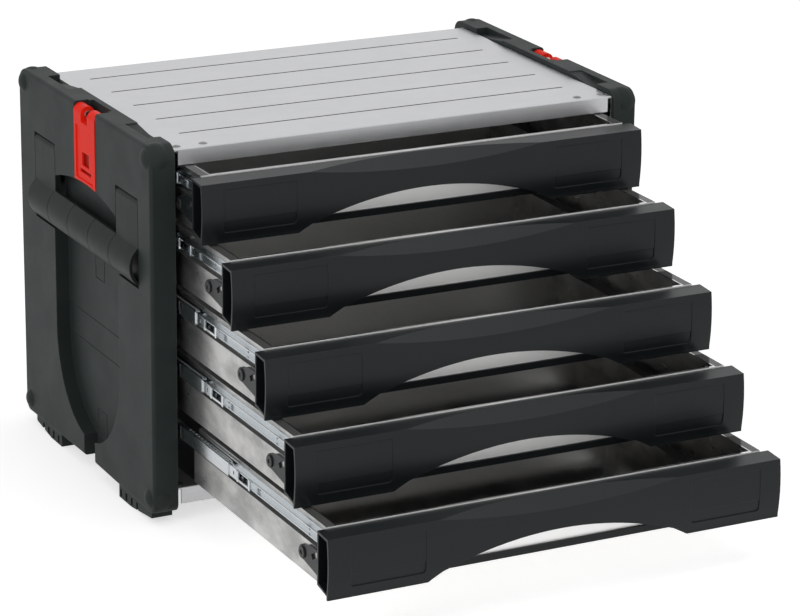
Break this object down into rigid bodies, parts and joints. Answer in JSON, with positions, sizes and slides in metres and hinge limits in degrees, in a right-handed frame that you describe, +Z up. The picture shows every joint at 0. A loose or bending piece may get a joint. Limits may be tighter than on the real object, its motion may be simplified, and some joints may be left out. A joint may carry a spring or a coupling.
{
  "type": "portable tool box with drawers",
  "caption": "Portable steel tool box with moulded side covers, fold-down side handles, stacking latches and full-width drawers on ball slides, shown opened like stairs.",
  "frame": {"origin": "on the floor, under the middle of the bounding box of the opened box", "axes": "+X to the right seen from the front, -Y out of the front where the drawers open, +Z up"},
  "size_m": [0.478, 0.592, 0.335],
  "materials": {
    "cover_plastic": "fine-textured dark moulded plastic",
    "front_plastic": "satin black plastic",
    "handle_plastic": "satin dark plastic",
    "latch_plastic": "semi-gloss red plastic",
    "plate_steel": "satin zinc-plated sheet",
    "frame_steel": "zinc-plated sheet",
    "tray_steel": "bright zinc-plated sheet",
    "slide_steel": "bright rolled steel",
    "pin_steel": "turned steel",
    "rivet_steel": "plain rivets",
    "black_screw": "blackened screw"
  },
  "bodies": {
    "casing": {"left_cover": "cover_plastic", "right_cover": "cover_plastic", "handle_pins": "pin_steel", "latch_pins": "pin_steel", "top_plate": "plate_steel", "bottom_plate": "plate_steel", "back_panel": "plate_steel", "left_side_frame": "frame_steel", "right_side_frame": "frame_steel", "plate_rivets": "rivet_steel", "cover_screws": "rivet_steel", "slide_outer_1": "slide_steel", "slide_outer_2": "slide_steel", "slide_outer_3": "slide_steel", "slide_outer_4": "slide_steel", "slide_outer_5": "slide_steel"},
    "left_handle": {"left_handle": "handle_plastic"},
    "right_handle": {"right_handle": "handle_plastic"},
    "left_latch": {"left_latch": "latch_plastic"},
    "right_latch": {"right_latch": "latch_plastic"},
    "drawer_1": {"tray_1": "tray_steel", "front_1": "front_plastic", "front_screws_1": "black_screw", "slide_inner_1": "slide_steel", "slide_rivets_1": "rivet_steel"},
    "carriage_1": {"slide_middle_1": "slide_steel", "ball_cage_1": "slide_steel"},
    "drawer_2": {"tray_2": "tray_steel", "front_2": "front_plastic", "front_screws_2": "black_screw", "slide_inner_2": "slide_steel", "slide_rivets_2": "rivet_steel"},
    "carriage_2": {"slide_middle_2": "slide_steel", "ball_cage_2": "slide_steel"},
    "drawer_3": {"tray_3": "tray_steel", "front_3": "front_plastic", "front_screws_3": "black_screw", "slide_inner_3": "slide_steel", "slide_rivets_3": "rivet_steel"},
    "carriage_3": {"slide_middle_3": "slide_steel", "ball_cage_3": "slide_steel"},
    "drawer_4": {"tray_4": "tray_steel", "front_4": "front_plastic", "front_screws_4": "black_screw", "slide_inner_4": "slide_steel", "slide_rivets_4": "rivet_steel"},
    "carriage_4": {"slide_middle_4": "slide_steel", "ball_cage_4": "slide_steel"},
    "drawer_5": {"tray_5": "tray_steel", "front_5": "front_plastic", "front_screws_5": "black_screw", "slide_inner_5": "slide_steel", "slide_rivets_5": "rivet_steel"},
    "carriage_5": {"slide_middle_5": "slide_steel", "ball_cage_5": "slide_steel"}
  },
  "joints": [
    {"name": "left_handle_hinge", "type": "hinge", "parent": "casing", "child": "left_handle", "pos_m": [-0.226, 0.139, 0.2775], "axis": [0, 1, 0], "range_deg": [0, 90]},
    {"name": "right_handle_hinge", "type": "hinge", "parent": "casing", "child": "right_handle", "pos_m": [0.226, 0.139, 0.2775], "axis": [0, -1, 0], "range_deg": [0, 90]},
    {"name": "left_latch_hinge", "type": "hinge", "parent": "casing", "child": "left_latch", "pos_m": [-0.225, 0.137, 0.326], "axis": [0, 1, 0], "range_deg": [0, 170]},
    {"name": "right_latch_hinge", "type": "hinge", "parent": "casing", "child": "right_latch", "pos_m": [0.225, 0.137, 0.326], "axis": [0, -1, 0], "range_deg": [0, 170]},
    {"name": "drawer_1_slide", "type": "slide", "parent": "casing", "child": "drawer_1", "axis": [0, -1, 0], "range_m": [-0.0495, 0.2405]},
    {"name": "carriage_1_slide", "type": "slide", "parent": "casing", "child": "carriage_1", "axis": [0, -1, 0], "range_m": [-0.02782, 0.13478]},
    {"name": "drawer_2_slide", "type": "slide", "parent": "casing", "child": "drawer_2", "axis": [0, -1, 0], "range_m": [-0.1085, 0.1815]},
    {"name": "carriage_2_slide", "type": "slide", "parent": "casing", "child": "carriage_2", "axis": [0, -1, 0], "range_m": [-0.06086, 0.10174]},
    {"name": "drawer_3_slide", "type": "slide", "parent": "casing", "child": "drawer_3", "axis": [0, -1, 0], "range_m": [-0.1725, 0.1175]},
    {"name": "carriage_3_slide", "type": "slide", "parent": "casing", "child": "carriage_3", "axis": [0, -1, 0], "range_m": [-0.0967, 0.0659]},
    {"name": "drawer_4_slide", "type": "slide", "parent": "casing", "child": "drawer_4", "axis": [0, -1, 0], "range_m": [-0.2275, 0.0625]},
    {"name": "carriage_4_slide", "type": "slide", "parent": "casing", "child": "carriage_4", "axis": [0, -1, 0], "range_m": [-0.1275, 0.0351]},
    {"name": "drawer_5_slide", "type": "slide", "parent": "casing", "child": "drawer_5", "axis": [0, -1, 0], "range_m": [-0.288, 0.002]},
    {"name": "carriage_5_slide", "type": "slide", "parent": "casing", "child": "carriage_5", "axis": [0, -1, 0], "range_m": [-0.16138, 0.00122]}
  ],
  "couplings": [
    {"joint": "carriage_1_slide", "follows": "drawer_1_slide", "ratio": 0.56},
    {"joint": "carriage_2_slide", "follows": "drawer_2_slide", "ratio": 0.56},
    {"joint": "carriage_3_slide", "follows": "drawer_3_slide", "ratio": 0.56},
    {"joint": "carriage_4_slide", "follows": "drawer_4_slide", "ratio": 0.56},
    {"joint": "carriage_5_slide", "follows": "drawer_5_slide", "ratio": 0.56}
  ]
}
